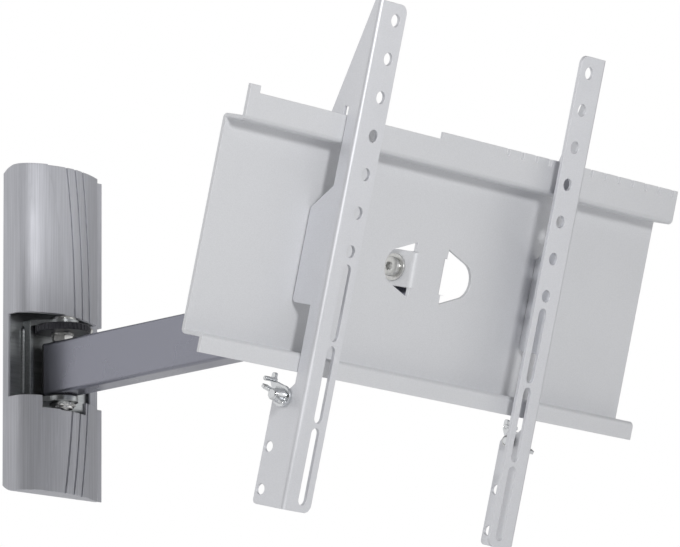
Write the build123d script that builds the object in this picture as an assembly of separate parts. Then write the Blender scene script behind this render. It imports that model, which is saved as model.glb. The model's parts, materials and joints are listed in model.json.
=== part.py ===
"""TV wall mount on one swivelling arm, all in mm.

The origin is the middle of the wall plate's back face. The wall is the plane y = 0, the room is
towards -Y, X runs to the right along the wall and Z is up.

Four frames are used. The wall frame is the world. The head frame sits on the vertical head axis and
is turned by HEAD_YAW. The face frame sits in the middle of the face panel's front skin: its x runs
along the panel, its z up the panel and its -y out of the panel, tilted by TILT. In the face frame a
depth n in front of the skin is y = -n.
"""

import math
import os

from build123d import *

os.makedirs("parts", exist_ok=True)

# How far cutters run past what they cut: a little, and right through the cover.
PAST = 1.0
FAR = 60.0

# Wall plate and its moulded cover.
COVER_W = 85.0
COVER_TOP = 113.0
COVER_BOTTOM = -116.5
COVER_WALL = 2.0
COVER_FIT = 0.3
# The cover's ends draw in towards the wall: by this much, over this depth.
END_DRAW = 5.0
END_RUN = 11.0
END_BULGE = 0.3
PLATE_ARCH = 4.5
PLATE_T = 3.0
WALL_HOLE_X = 25.0
WALL_HOLE_Z = 85.0
WALL_HOLE_D = 7.0
WALL_SLOT_Z = (62.0, -76.0)
WALL_SLOT_L = 22.0
WALL_SLOT_W = 6.5
WINDOW_Z0 = -50.0
WINDOW_Z1 = 8.0
WINDOW_RIM = 6.0
SCOOP_R = 22.0
SCOOP_Z0 = -58.5
SIDE_RIM_W = 9.2
SIDE_RIM_DEPTH = 6.0

# Depth of the cover's front skin, at shares of its half width from left to right.
VAULT = [
    (-1.0, 14.5), (-0.974, 17.6), (-0.913, 20.9), (-0.824, 23.6), (-0.588, 27.4), (-0.294, 29.2),
    (0.0, 28.4), (0.259, 25.2), (0.518, 20.6), (0.753, 15.2), (1.0, 9.0),
]
# The leaf lies over the skin to its right. Its edge runs through these x at z = 0 and at LEAF_END_Z.
LEAF_EDGE = (-10.0, -25.0)
LEAF_STEP = 2.5
LEAF_END_Z = 112.0
LEAF_PAST = 20.0
# Creases right of the leaf, each by the x of its left edge at z = 0 and at LEAF_END_Z.
CREASES = [(0.3, -8.3), (9.6, 0.4), (19.2, 9.6)]
CREASE_W = 1.6
CREASE_DEPTH = 1.5

# Swivelling arm, a rectangular tube between two vertical axes.
ARM_X = -7.0
WALL_AXIS_Y = -22.0
HEAD_AXIS_Y = -336.0
ARM_W = 20.0
ARM_Z0 = -47.5
ARM_Z1 = -10.5
ARM_WALL = 2.5
ARM_EDGE_R = 2.5
ARM_INNER_R = 1.0
ARM_TAIL = 8.5
CAP_T = 2.0
CAP_PLUG = 1.8
BUSH_R = 6.5
PIN_R = 5.0
PIN_GAP = 0.05
BOLT_END = 3.0
WALL_BOLT_END = 1.0
PIVOT_HEAD_R = 9.0
WALL_HEAD_H = 2.6
HEAD_HEAD_H = 4.0
HEAD_EDGE = 0.5
PIVOT_SOCKET = 6.0
SOCKET_FLOOR = 0.6
NUT_FLATS = 16.0
NUT_EDGE = 0.8
WALL_NUT_H = 4.6
HEAD_NUT_H = 6.0
BOLT_CHAMFER = 0.9
FACE_GAP = 0.3

# Wall pivot stack.
EAR_R = 11.0
BOTTOM_EAR_Z0 = -52.5
BOTTOM_EAR_Z1 = -48.8
TOP_EAR_Z0 = 1.2
TOP_EAR_Z1 = 5.0
PIVOT_HALF_W = 20.0
PIVOT_REACH = 11.0
PIVOT_SHEET = 3.0
RING_R = 19.4
RING_Z0 = -3.8
RING_EDGE = 0.6
RING_CLEAR = 0.2
RING_NOTCHES = 36
RING_NOTCH_R = 1.1
RING_NOTCH_OUT = 0.35
RING_LAND = 1.2
RING_WASHER_R = 7.8
RING_WASHER_T = 1.6
RING_NUT_FLATS = 13.0
RING_NUT_H = 4.6
WALL_GLIDE_R = 10.5
RING_SCREW_TURN = -30.0
RING_SCREW_R = 2.0
RING_SHANK_R = 1.2
RING_SCREW_L = 3.0

# Head yoke.
HEAD_YAW = 7.0
TILT = 15.0
TILT_FWD = 32.5
TILT_Z = -11.0
YOKE_HALF_W = 13.2
YOKE_EAR_T = 3.5
YOKE_WEB_Y = -15.2
YOKE_T = 4.0
YOKE_EAR_R = 11.5
GLIDE_T = 1.2
GLIDE_INSET = 0.2

# Face panel, folded sheet.
SHEET = 2.5
BEND_R = 3.5
PANEL_W = 440.0
RAIL_IN = 70.5
RAIL_FRONT = 16.0
TOP_LIP = 91.0
TOP_LIP_LOW = 86.3
BOTTOM_LIP = 80.3
LOW_STRETCH = (-210.5, -30.0)
TOOTH_FIRST = 37.4
TOOTH_PITCH = 14.75
TOOTH_COUNT = 13
TOOTH_W = 3.4
TAB_X = 16.0
TAB_REACH = 16.0
TAB_R = 12.0
TAB_HALF_H = 18.3
TAB_BEND_R = 1.0
TILT_BACK = 16.0
TILT_PIN_R = 4.0
TILT_NUT_FLATS = 13.0
TILT_NUT_H = 6.5
TILT_HEAD_R = 6.5
TILT_HEAD_H = 4.5
TILT_HEAD_EDGE = 0.6
TILT_SOCKET = 5.0
TILT_SOCKET_DEPTH = 2.9
WASHER_T = 1.5
WASHER_R = 9.0

# Television brackets, a mirrored pair hung on the rail.
HOLE_X = 16.5
BRACKET_W = 26.0
BRACKET_TOP = 162.5
BRACKET_BOTTOM = -167.5
BRACKET_FRONT = 27.0
ANGLE_BEND_R = 1.0
TIP_DEPTH = 5.5
HOOK_BACK = 2.4
HOOK_TOP = 86.4
LIP_GAP = 1.0
SKIN_GAP = 0.6
DEEP_SLOPE_V = 40.5
DEEP_TOP = 24.7
DEEP_BOTTOM = -36.8
CORNER_R = 3.0
END_R = 6.0
# The flange widens below the panel: (depth, height) of the slope's corners.
FOOT_SLOPE = [(16.4, -87.5), (13.0, -91.2), (4.5, -91.2), (0.0, -98.0)]
LEFT_HOLE_X = -110.0
RIGHT_HOLE_X = 90.0
HOLE_TOP = 151.5
HOLE_PITCH = 25.0
HOLE_COUNT = 7
HOLE_D = 8.2
SLOT_CENTRES = (-32.0, -85.0, -138.0)
SLOT_L = 50.0
SLOT_W = 7.5
RAIL_GAP = 0.4
LATCH_N = 9.0
LATCH_V = -97.0
LATCH_PIN_R = 2.5
LATCH_HUB_R = 7.0
LATCH_PLATE_T = 2.5
LATCH_TIP_V = -83.0
LATCH_ELBOW_N = -2.0
LATCH_FINGER_T = 3.2
# Heights of the hook's elbow over its hub, inside and outside, and its rounded tip.
ELBOW_INSIDE = 1.8
ELBOW_OUTSIDE = 0.5
TIP_ROUND = 0.45
LATCH_NUT_FLATS = 8.0
LATCH_NUT_H = 4.5
LATCH_SCREW_END = 0.5
LATCH_CAP_R = 3.7
LATCH_CAP_H = 2.0
LATCH_CAP_EDGE = 1.4
THUMB_PIN_R = 1.5
THUMB_PIN_L = 9.0
THUMB_PIN_EDGE = 0.9
# The thumb pin's place past the elbow's corner, back and up.
THUMB_PIN_BACK = 2.4
THUMB_PIN_UP = 2.24
SIDE_HOLE_R = 3.5
SIDE_HOLE_N = 4.5
SIDE_HOLES_V = (-130.0, -157.7)
KNOB_BASE_R = 5.3
KNOB_TOP_R = 3.8
KNOB_H = 7.0
WING_TIP_Y = 7.5
WING_T = 2.2
WING_EDGE = 1.2
# A wing's outline, as (height past the knob's middle, distance from its axis).
WING = [(-2.5, 2.0), (-2.5, 4.4), (0.5, 10.5), (5.0, 11.5), (6.0, 8.0), (2.0, 3.4), (2.0, 2.0)]
WING_TURN = 25.0


def block(x0, x1, y0, y1, z0, z1):
    """Box between two corners."""
    middle = Pos((x0 + x1) / 2, (y0 + y1) / 2, (z0 + z1) / 2)
    return middle * Box(abs(x1 - x0), abs(y1 - y0), abs(z1 - z0))


def rod(axis, centre, radius, low, high):
    """Cylinder along an axis from low to high; centre holds the other two coordinates in order."""
    length = high - low
    middle = (low + high) / 2
    if axis == "x":
        return Pos(middle, centre[0], centre[1]) * Rot(0, 90, 0) * Cylinder(radius, length)
    if axis == "y":
        return Pos(centre[0], middle, centre[1]) * Rot(90, 0, 0) * Cylinder(radius, length)
    return Pos(centre[0], centre[1], middle) * Cylinder(radius, length)


def hexagon(axis, centre, flats, low, high):
    """Hexagonal prism with its corners turned off, along x or z."""
    body = extrude(RegularPolygon(flats / 2, 6, major_radius=False), high - low)
    cone_r = flats / math.sqrt(3)
    turned = Pos(0, 0, (high - low) / 2) * Cylinder(cone_r, high - low)
    turned = chamfer_ends(turned, NUT_EDGE)
    body = body & turned
    if axis == "x":
        return Pos(low, centre[0], centre[1]) * Rot(0, 90, 0) * body
    return Pos(centre[0], centre[1], low) * body


def chamfer_ends(solid, size):
    """Chamfer the two end circles of a cylinder."""
    return chamfer(solid.edges().filter_by(GeomType.CIRCLE), size)


def plate_xz(points, y0, y1):
    """Polygon in the x-z plane made into a plate from y0 to y1."""
    face = make_face(Polyline(*[(x, 0, z) for x, z in points], close=True))
    return Pos(0, y0, 0) * extrude(face, amount=y1 - y0, dir=(0, 1, 0))


def side_plate(points, x0, x1):
    """Polygon of (n, v) pairs made into a plate from x0 to x1, n being the depth towards -Y."""
    face = make_face(Polyline(*[(0, -n, v) for n, v in points], close=True))
    return Pos(x0, 0, 0) * extrude(face, amount=x1 - x0, dir=(1, 0, 0))


def round_edges(solid, spots, radius, axis):
    """Fillet the edges parallel to an axis whose middle lies at one of the spots."""
    near = 0.05
    picked = []
    for edge in solid.edges().filter_by(axis):
        middle = edge.position_at(0.5)
        for x, y, z in spots:
            near_x = x is None or abs(middle.X - x) < near
            near_y = y is None or abs(middle.Y - y) < near
            near_z = z is None or abs(middle.Z - z) < near
            if near_x and near_y and near_z:
                picked.append(edge)
    return fillet(picked, radius)


def slot_plate(centre_x, centre_z, length, width, y0, y1):
    """Upright slot with round ends, as a cutter along y."""
    half = (length - width) / 2
    cutter = block(centre_x - width / 2, centre_x + width / 2, y0, y1, centre_z - half, centre_z + half)
    cutter += rod("y", (centre_x, centre_z - half), width / 2, y0, y1)
    cutter += rod("y", (centre_x, centre_z + half), width / 2, y0, y1)
    return cutter


def vault_profile(lower):
    """Cross-section of the cover in plan, its front skin lowered by a given depth."""
    skin = [(share * COVER_W / 2, -(depth - lower)) for share, depth in VAULT]
    left = skin[0]
    right = skin[-1]
    front = Spline(*[(x, y, 0) for x, y in skin])
    back = Polyline((right[0], right[1], 0), (right[0], 0, 0), (left[0], 0, 0), (left[0], left[1], 0))
    return make_face([front, back])


def vault(lower):
    """The cover's whole form as a solid, its front skin lowered, its ends cut to their side view."""
    tall = COVER_TOP - COVER_BOTTOM
    form = Pos(0, 0, COVER_BOTTOM) * extrude(vault_profile(lower), tall, dir=(0, 0, 1))
    return form & side_view(0)


def side_view(inset):
    """The cover's side view across its whole width, drawn in by an inset all round its ends."""
    top = COVER_TOP - inset
    bottom = COVER_BOTTOM + inset
    bulge = END_BULGE * END_DRAW
    high = ThreePointArc(
        (0, 0, top - END_DRAW), (0, -END_RUN / 2, top - bulge), (0, -END_RUN, top)
    )
    front = Polyline((0, -END_RUN, top), (0, -FAR, top), (0, -FAR, bottom), (0, -END_RUN, bottom))
    low = ThreePointArc(
        (0, -END_RUN, bottom), (0, -END_RUN / 2, bottom + bulge), (0, 0, bottom + END_DRAW)
    )
    back = Polyline(
        (0, 0, bottom + END_DRAW), (0, FAR, bottom + END_DRAW), (0, FAR, top - END_DRAW),
        (0, 0, top - END_DRAW),
    )
    face = make_face([high, front, low, back])
    return Pos(-COVER_W, 0, 0) * extrude(face, amount=2 * COVER_W, dir=(1, 0, 0))


def left_of(edge):
    """Block left of a curved edge, over the whole height and depth of the cover."""
    middle, end = edge
    reach = LEAF_END_Z + LEAF_PAST
    far = middle - (middle - end) * (reach / LEAF_END_Z) ** 2
    curve = ThreePointArc((far, 0, -reach), (middle, 0, 0), (far, 0, reach))
    outside = Polyline(
        (far, 0, reach), (-COVER_W, 0, reach), (-COVER_W, 0, -reach), (far, 0, -reach)
    )
    return Pos(0, -FAR, 0) * extrude(make_face([curve, outside]), amount=2 * FAR, dir=(0, 1, 0))


def make_cover():
    """Moulded cover: a vault with a leaf and creases over the wall plate, with the arm's window."""
    body = vault(LEAF_STEP) + (vault(0) & left_of(LEAF_EDGE))
    floor = vault(LEAF_STEP + CREASE_DEPTH)
    for middle, end in CREASES:
        crease = left_of((middle + CREASE_W, end + CREASE_W)) - left_of((middle, end))
        body -= crease - floor
    rim_x = COVER_W / 2 - SIDE_RIM_W
    body -= block(rim_x, COVER_W, -FAR, -SIDE_RIM_DEPTH, COVER_BOTTOM - PAST, COVER_TOP + PAST)
    inner = Pos(0, COVER_WALL, 0) * vault(LEAF_STEP + CREASE_DEPTH)
    inner &= side_view(COVER_WALL)
    inner &= block(
        -COVER_W / 2 + COVER_WALL, COVER_W / 2 - COVER_WALL, -FAR, FAR, COVER_BOTTOM, COVER_TOP
    )
    inner -= block(
        rim_x - COVER_WALL, COVER_W, -FAR, -SIDE_RIM_DEPTH + COVER_WALL, COVER_BOTTOM, COVER_TOP
    )
    body -= inner
    body -= block(-COVER_W, COVER_W, -FAR, -WINDOW_RIM, WINDOW_Z0, WINDOW_Z1)
    body -= block(COVER_W / 2 - 2 * COVER_WALL, COVER_W, -FAR, FAR, WINDOW_Z0, WINDOW_Z1)
    body -= rod("z", (ARM_X, WALL_AXIS_Y), SCOOP_R, SCOOP_Z0, WINDOW_Z1)
    return body


def arched_outline(half_w, half_h, arch, y0, y1):
    """Upright outline with gently arched ends, as a block from y0 to y1."""
    top = ThreePointArc((-half_w, 0, half_h), (0, 0, half_h + arch), (half_w, 0, half_h))
    right = Line((half_w, 0, half_h), (half_w, 0, -half_h))
    bottom = ThreePointArc((half_w, 0, -half_h), (0, 0, -half_h - arch), (-half_w, 0, -half_h))
    left = Line((-half_w, 0, -half_h), (-half_w, 0, half_h))
    face = make_face([top, right, bottom, left])
    return Pos(0, y0, 0) * extrude(face, amount=y1 - y0, dir=(0, 1, 0))


def make_wall_plate():
    """Steel base plate, screwed to the wall under the cover."""
    half_w = COVER_W / 2 - COVER_WALL - COVER_FIT
    half_h = COVER_TOP - END_DRAW - COVER_WALL - COVER_FIT - PLATE_ARCH
    body = arched_outline(half_w, half_h, PLATE_ARCH, -PLATE_T, 0)
    for x in (-WALL_HOLE_X, WALL_HOLE_X):
        for z in (-WALL_HOLE_Z, WALL_HOLE_Z):
            body -= rod("y", (x, z), WALL_HOLE_D / 2, -PLATE_T - PAST, 1)
    for z in WALL_SLOT_Z:
        body -= slot_plate(0, z, WALL_SLOT_L, WALL_SLOT_W, -PLATE_T - PAST, 1)
    return body


def make_pivot_bracket():
    """Welded channel on the wall plate with the two ears that hold the wall pivot."""
    x0 = ARM_X - PIVOT_HALF_W
    x1 = ARM_X + PIVOT_HALF_W
    back = -PLATE_T
    front = -PIVOT_REACH
    body = block(x0, x1, back - PIVOT_SHEET, back, BOTTOM_EAR_Z0, TOP_EAR_Z1)
    body += block(x0, x0 + PIVOT_SHEET, front, back, BOTTOM_EAR_Z0, TOP_EAR_Z1)
    body += block(x1 - PIVOT_SHEET, x1, front, back, BOTTOM_EAR_Z0, TOP_EAR_Z1)
    for z0, z1 in ((BOTTOM_EAR_Z0, BOTTOM_EAR_Z1), (TOP_EAR_Z0, TOP_EAR_Z1)):
        ear = Polyline(
            (x0, back, 0), (x1, back, 0), (x1, front, 0), (ARM_X + EAR_R, WALL_AXIS_Y, 0),
            (ARM_X - EAR_R, WALL_AXIS_Y, 0), (x0, front, 0), close=True,
        )
        body += Pos(0, 0, z0) * extrude(make_face(ear), z1 - z0, dir=(0, 0, 1))
        body += rod("z", (ARM_X, WALL_AXIS_Y), EAR_R, z0, z1)
        body -= rod("z", (ARM_X, WALL_AXIS_Y), PIN_R, z0 - PAST, z1 + PAST)
    return body


def make_bearing_ring():
    """Knurled swivel ring under the top ear."""
    centre = (ARM_X, WALL_AXIS_Y)
    body = rod("z", centre, RING_R, RING_Z0, TOP_EAR_Z0)
    body = chamfer_ends(body, RING_EDGE)
    for index in range(RING_NOTCHES):
        angle = 2 * math.pi * index / RING_NOTCHES
        x = ARM_X + (RING_R + RING_NOTCH_OUT) * math.cos(angle)
        y = WALL_AXIS_Y + (RING_R + RING_NOTCH_OUT) * math.sin(angle)
        body -= rod("z", (x, y), RING_NOTCH_R, RING_Z0 - PAST, TOP_EAR_Z0 - RING_LAND)
    z0 = RING_Z0 - PAST
    z1 = TOP_EAR_Z0 + PAST
    web = -PLATE_T - PIVOT_SHEET - RING_CLEAR
    inside = PIVOT_HALF_W - PIVOT_SHEET - RING_CLEAR
    body -= block(ARM_X - FAR, ARM_X + FAR, web, FAR, z0, z1)
    for side in (-1, 1):
        body -= block(
            ARM_X + side * inside, ARM_X + side * FAR, -PIVOT_REACH - RING_CLEAR, FAR, z0, z1
        )
    body -= rod("z", centre, PIN_R, z0, z1)
    return body - make_ring_screw()


def make_ring_screw():
    """Round headed grub screw that pins the ring to the ear, in the ring's right rim."""
    turn = math.radians(RING_SCREW_TURN)
    x = ARM_X + RING_R * math.cos(turn)
    y = WALL_AXIS_Y + RING_R * math.sin(turn)
    place = Pos(x, y, (RING_Z0 + TOP_EAR_Z0) / 2) * Rot(0, 0, RING_SCREW_TURN)
    shank = Pos(-RING_SCREW_L / 2, 0, 0) * Rot(0, 90, 0) * Cylinder(RING_SHANK_R, RING_SCREW_L)
    head = Sphere(RING_SCREW_R) & Pos(RING_SCREW_R, 0, 0) * Box(
        2 * RING_SCREW_R, 3 * RING_SCREW_R, 3 * RING_SCREW_R
    )
    return place * (shank + head)


def make_arm():
    """Rectangular steel tube with a bored seat for a bush at each end."""
    y0 = HEAD_AXIS_Y - ARM_TAIL
    y1 = WALL_AXIS_Y + ARM_TAIL
    body = block(ARM_X - ARM_W / 2, ARM_X + ARM_W / 2, y0, y1, ARM_Z0, ARM_Z1)
    body = fillet(body.edges().filter_by(Axis.Y), ARM_EDGE_R)
    inner = block(
        ARM_X - ARM_W / 2 + ARM_WALL, ARM_X + ARM_W / 2 - ARM_WALL, y0 - PAST, y1 + PAST,
        ARM_Z0 + ARM_WALL, ARM_Z1 - ARM_WALL,
    )
    body -= fillet(inner.edges().filter_by(Axis.Y), ARM_INNER_R)
    for y in (WALL_AXIS_Y, HEAD_AXIS_Y):
        body -= rod("z", (ARM_X, y), BUSH_R, ARM_Z0 - PAST, ARM_Z1 + PAST)
    return body


def make_cap(end_y, outward):
    """Moulded cap closing one end of the arm: a plate and a shallow plug."""
    outer = end_y + outward * CAP_T
    plate = block(
        ARM_X - ARM_W / 2, ARM_X + ARM_W / 2, min(end_y, outer), max(end_y, outer), ARM_Z0, ARM_Z1
    )
    plate = fillet(plate.edges().filter_by(Axis.Y), ARM_EDGE_R)
    inner = end_y - outward * CAP_PLUG
    plug = block(
        ARM_X - ARM_W / 2 + ARM_WALL, ARM_X + ARM_W / 2 - ARM_WALL, min(end_y, inner),
        max(end_y, inner), ARM_Z0 + ARM_WALL, ARM_Z1 - ARM_WALL,
    )
    return plate + fillet(plug.edges().filter_by(Axis.Y), ARM_INNER_R)


def make_bush(y):
    """Sleeve pressed through the tube, for a vertical pivot."""
    body = rod("z", (ARM_X, y), BUSH_R, ARM_Z0, ARM_Z1)
    return body - rod("z", (ARM_X, y), PIN_R + PIN_GAP, ARM_Z0 - PAST, ARM_Z1 + PAST)


def washer_z(centre, outer, inner, z0, z1):
    """Flat washer on a vertical pivot."""
    return rod("z", centre, outer, z0, z1) - rod("z", centre, inner, z0 - PAST, z1 + PAST)


def make_pivot_bolt(centre, top_z, bottom_z, head_h):
    """Low round headed pivot bolt with a hexagon socket, head up."""
    shank = rod("z", centre, PIN_R, bottom_z, top_z)
    body = chamfer(shank.edges().filter_by(GeomType.CIRCLE).sort_by(Axis.Z)[0], BOLT_CHAMFER)
    head = chamfer_ends(rod("z", centre, PIVOT_HEAD_R, top_z, top_z + head_h), HEAD_EDGE)
    socket = extrude(RegularPolygon(PIVOT_SOCKET / 2, 6, major_radius=False), head_h)
    body += head
    body -= Pos(centre[0], centre[1], top_z + SOCKET_FLOOR) * socket
    return body


def make_yoke():
    """Head yoke: a C round the arm's end, with the two ears of the tilt joint in front."""
    bottom_z0 = BOTTOM_EAR_Z1 - YOKE_T
    top_z0 = ARM_Z1 + FACE_GAP + GLIDE_T
    top_z1 = top_z0 + YOKE_T
    web_y1 = YOKE_WEB_Y
    web_y0 = YOKE_WEB_Y - YOKE_T
    web_top = TILT_Z + YOKE_EAR_R
    body = block(-YOKE_HALF_W, YOKE_HALF_W, web_y0, web_y1, bottom_z0, web_top)
    for z0, z1 in ((bottom_z0, BOTTOM_EAR_Z1), (top_z0, top_z1)):
        body += block(-YOKE_HALF_W, YOKE_HALF_W, web_y0, 0, z0, z1)
        body += rod("z", (0, 0), YOKE_HALF_W, z0, z1)
        body -= rod("z", (0, 0), PIN_R, z0 - PAST, z1 + PAST)
    tilt = (-TILT_FWD, TILT_Z)
    for side in (-1, 1):
        x0 = min(side * YOKE_HALF_W, side * (YOKE_HALF_W - YOKE_EAR_T))
        x1 = x0 + YOKE_EAR_T
        body += block(x0, x1, -TILT_FWD, web_y1, TILT_Z - YOKE_EAR_R, web_top)
        body += rod("x", tilt, YOKE_EAR_R, x0, x1)
    body -= rod("x", tilt, TILT_PIN_R + PIN_GAP, -FAR, FAR)
    return body


def rail_section():
    """Folded section of the face panel as (n, v) outline corners with the fold radii."""
    t = SHEET
    outer_fold = BEND_R + t
    front = RAIL_FRONT
    corners = [
        ((front, -BOTTOM_LIP), 0), ((front, -RAIL_IN), outer_fold), ((0, -RAIL_IN), BEND_R),
        ((0, RAIL_IN), BEND_R), ((front, RAIL_IN), outer_fold), ((front, TOP_LIP), 0),
        ((front - t, TOP_LIP), 0), ((front - t, RAIL_IN + t), BEND_R),
        ((-t, RAIL_IN + t), outer_fold), ((-t, -RAIL_IN - t), outer_fold),
        ((front - t, -RAIL_IN - t), BEND_R), ((front - t, -BOTTOM_LIP), 0),
    ]
    return corners


def tab_outline():
    """Half-tapered tab with a round end: corners in (reach, height) before the end is rounded."""
    gap = math.hypot(TAB_REACH, TAB_HALF_H)
    lead = math.atan2(TAB_HALF_H, -TAB_REACH)
    swing = math.acos(TAB_R / gap)
    angle = lead - swing
    touch = (TAB_REACH + TAB_R * math.cos(angle), TAB_R * math.sin(angle))
    return touch


def make_face_panel():
    """Folded face panel: flat skin, rails at top and bottom, and two tabs bent back for the tilt."""
    corners = rail_section()
    half = PANEL_W / 2
    body = side_plate([point for point, _ in corners], -half, half)
    for radius in (BEND_R, BEND_R + SHEET):
        spots = [(None, -n, v) for (n, v), r in corners if r == radius]
        body = round_edges_of(body, spots, radius)
    body -= block(LOW_STRETCH[0], LOW_STRETCH[1], -RAIL_FRONT - PAST, 0, TOP_LIP_LOW, TOP_LIP + PAST)
    for index in range(TOOTH_COUNT):
        x = TOOTH_FIRST + index * TOOTH_PITCH
        body -= block(
            x - TOOTH_W / 2, x + TOOTH_W / 2, -RAIL_FRONT - PAST, 0, TOP_LIP_LOW, TOP_LIP + PAST
        )
    touch = tab_outline()
    for side in (-1, 1):
        root = side * TAB_X
        opening = plate_xz(
            [
                (root, -TAB_HALF_H), (root + side * touch[0], -touch[1]),
                (root + side * touch[0], touch[1]), (root, TAB_HALF_H),
            ],
            -1, SHEET + PAST,
        )
        opening += rod("y", (root + side * TAB_REACH, 0), TAB_R, -1, SHEET + PAST)
        body -= opening
        x0 = min(root, root - side * SHEET)
        body += block(x0, x0 + SHEET, 0, TILT_BACK, -TAB_R, TAB_R)
        body += rod("x", (TILT_BACK, 0), TAB_R, x0, x0 + SHEET)
        body = bend_tab(body, root, side)
    body -= rod("x", (TILT_BACK, 0), TILT_PIN_R, -FAR, FAR)
    return body


def bend_tab(body, root, side):
    """Round the fold between the skin and a tab: outside about the fold's centre, and inside."""
    outer_r = SHEET + TAB_BEND_R
    centre = (root - side * outer_r, outer_r)
    corner = block(centre[0], root + side, -1, outer_r, -TAB_R, TAB_R)
    body -= corner - rod("z", centre, outer_r, -TAB_R, TAB_R)
    fill = block(centre[0], root - side * SHEET, SHEET, outer_r, -TAB_R, TAB_R)
    return body + (fill - rod("z", centre, TAB_BEND_R, -TAB_R, TAB_R))


def round_edges_of(solid, spots, radius):
    """Fillet long edges along x at the given (y, z) spots."""
    return round_edges(solid, spots, radius, Axis.X).solid()


def make_bracket():
    """Right-hand television bracket about its line of holes at x = 0, flange towards +X."""
    side = HOLE_X
    free = HOLE_X - BRACKET_W
    t = SHEET
    front = BRACKET_FRONT
    back_edge = RAIL_FRONT + RAIL_GAP
    toe_front = RAIL_FRONT - t - RAIL_GAP
    toe_z = RAIL_IN + t + FACE_GAP
    outline = [
        (front, BRACKET_TOP), (front - TIP_DEPTH, BRACKET_TOP), (HOOK_BACK, HOOK_TOP),
        (HOOK_BACK, toe_z), (toe_front, toe_z), (toe_front, TOP_LIP + LIP_GAP),
        (back_edge, TOP_LIP + LIP_GAP), (back_edge, DEEP_SLOPE_V), (SKIN_GAP, DEEP_TOP),
        (SKIN_GAP, DEEP_BOTTOM), (back_edge, DEEP_BOTTOM), (back_edge, FOOT_SLOPE[0][1]),
        *FOOT_SLOPE[1:], (0.0, BRACKET_BOTTOM), (front, BRACKET_BOTTOM),
    ]
    angle = block(free, side, -front, 10, BRACKET_BOTTOM, BRACKET_TOP)
    angle -= block(free - PAST, side - t, -front + t, 20, BRACKET_BOTTOM - PAST, BRACKET_TOP + PAST)
    angle = round_edges(angle, [(side, -front, None)], t + ANGLE_BEND_R, Axis.Z).solid()
    angle = round_edges(angle, [(side - t, -front + t, None)], ANGLE_BEND_R, Axis.Z).solid()
    sheared = side_plate(outline, free - 5, side + 5)
    sheared = round_edges(
        sheared, [(None, -SKIN_GAP, DEEP_BOTTOM), (None, 0.0, BRACKET_BOTTOM)], CORNER_R, Axis.X
    ).solid()
    sheared = round_edges(sheared, [(None, -toe_front, toe_z)], BEND_R + RAIL_GAP, Axis.X).solid()
    body = angle & sheared
    for end, inward in ((BRACKET_TOP, -1), (BRACKET_BOTTOM, 1)):
        centre_z = end + inward * END_R
        z0 = min(end - inward, centre_z)
        z1 = max(end - inward, centre_z)
        corner = block(free - PAST, free + END_R, -front - PAST, -front + t + PAST, z0, z1)
        corner -= rod("y", (free + END_R, centre_z), END_R, -front - 2, -front + t + 2)
        body -= corner
    for index in range(HOLE_COUNT):
        z = HOLE_TOP - index * HOLE_PITCH
        body -= rod("y", (0, z), HOLE_D / 2, -front - PAST, -front + t + PAST)
    for z in SLOT_CENTRES:
        body -= slot_plate(0, z, SLOT_L, SLOT_W, -front - PAST, -front + t + PAST)
    for z in SIDE_HOLES_V:
        body -= rod("x", (-SIDE_HOLE_N, z), SIDE_HOLE_R, side - t - PAST, side + PAST)
    body -= rod("x", (-LATCH_N, LATCH_V), LATCH_PIN_R + PIN_GAP, side - t - PAST, side + PAST)
    return body


def make_latch_hook():
    """Latch on the flange's outer face: a hub, and a bent finger that swings behind the bottom lip."""
    x0 = HOLE_X + FACE_GAP
    x1 = x0 + LATCH_PLATE_T
    hub = (-LATCH_N, LATCH_V)
    outer_n = LATCH_ELBOW_N
    inner_n = LATCH_ELBOW_N + LATCH_FINGER_T
    arm_v = LATCH_V + LATCH_HUB_R
    finger = [
        (LATCH_N, arm_v), (inner_n, arm_v + ELBOW_INSIDE), (inner_n, LATCH_TIP_V),
        (outer_n, LATCH_TIP_V), (outer_n, arm_v + ELBOW_OUTSIDE), (LATCH_N - LATCH_HUB_R, LATCH_V),
        (LATCH_N, LATCH_V),
    ]
    plate = side_plate(finger, x0, x1)
    outside = [(None, -outer_n, arm_v + ELBOW_OUTSIDE)]
    inside = [(None, -inner_n, arm_v + ELBOW_INSIDE)]
    plate = round_edges(plate, outside, LATCH_FINGER_T, Axis.X).solid()
    plate = round_edges(plate, inside, LATCH_FINGER_T / 2, Axis.X).solid()
    tip = [(None, -outer_n, LATCH_TIP_V), (None, -inner_n, LATCH_TIP_V)]
    plate = round_edges(plate, tip, LATCH_FINGER_T * TIP_ROUND, Axis.X).solid()
    body = plate + rod("x", hub, LATCH_HUB_R, x0, x1)
    body -= rod("x", thumb_pin_centre(), THUMB_PIN_R, x0 - PAST, x1 + PAST)
    return body - rod("x", hub, LATCH_PIN_R, x0 - PAST, x1 + PAST)


def thumb_pin_centre():
    """Centre of the thumb pin in the hook's elbow, as (y, z)."""
    return (-(LATCH_ELBOW_N + THUMB_PIN_BACK), LATCH_V + LATCH_HUB_R + THUMB_PIN_UP)


def make_thumb_pin():
    """Pin riveted into the hook's elbow, to turn it by hand."""
    x0 = HOLE_X + FACE_GAP
    pin = rod("x", thumb_pin_centre(), THUMB_PIN_R, x0, x0 + LATCH_PLATE_T + THUMB_PIN_L)
    return fillet(pin.edges().filter_by(GeomType.CIRCLE).sort_by(Axis.X)[-1], THUMB_PIN_EDGE)


def make_latch_screw():
    """Turned screw through the flange, the hook and the wing knob, with a domed end outside."""
    centre = (-LATCH_N, LATCH_V)
    inner = HOLE_X - SHEET - FACE_GAP - LATCH_NUT_H - LATCH_SCREW_END
    outer = HOLE_X + FACE_GAP + LATCH_PLATE_T + KNOB_H
    body = rod("x", centre, LATCH_PIN_R, inner, outer)
    cap = rod("x", centre, LATCH_CAP_R, outer, outer + LATCH_CAP_H)
    return body + fillet(cap.edges().filter_by(GeomType.CIRCLE).sort_by(Axis.X)[-1], LATCH_CAP_EDGE)


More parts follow.
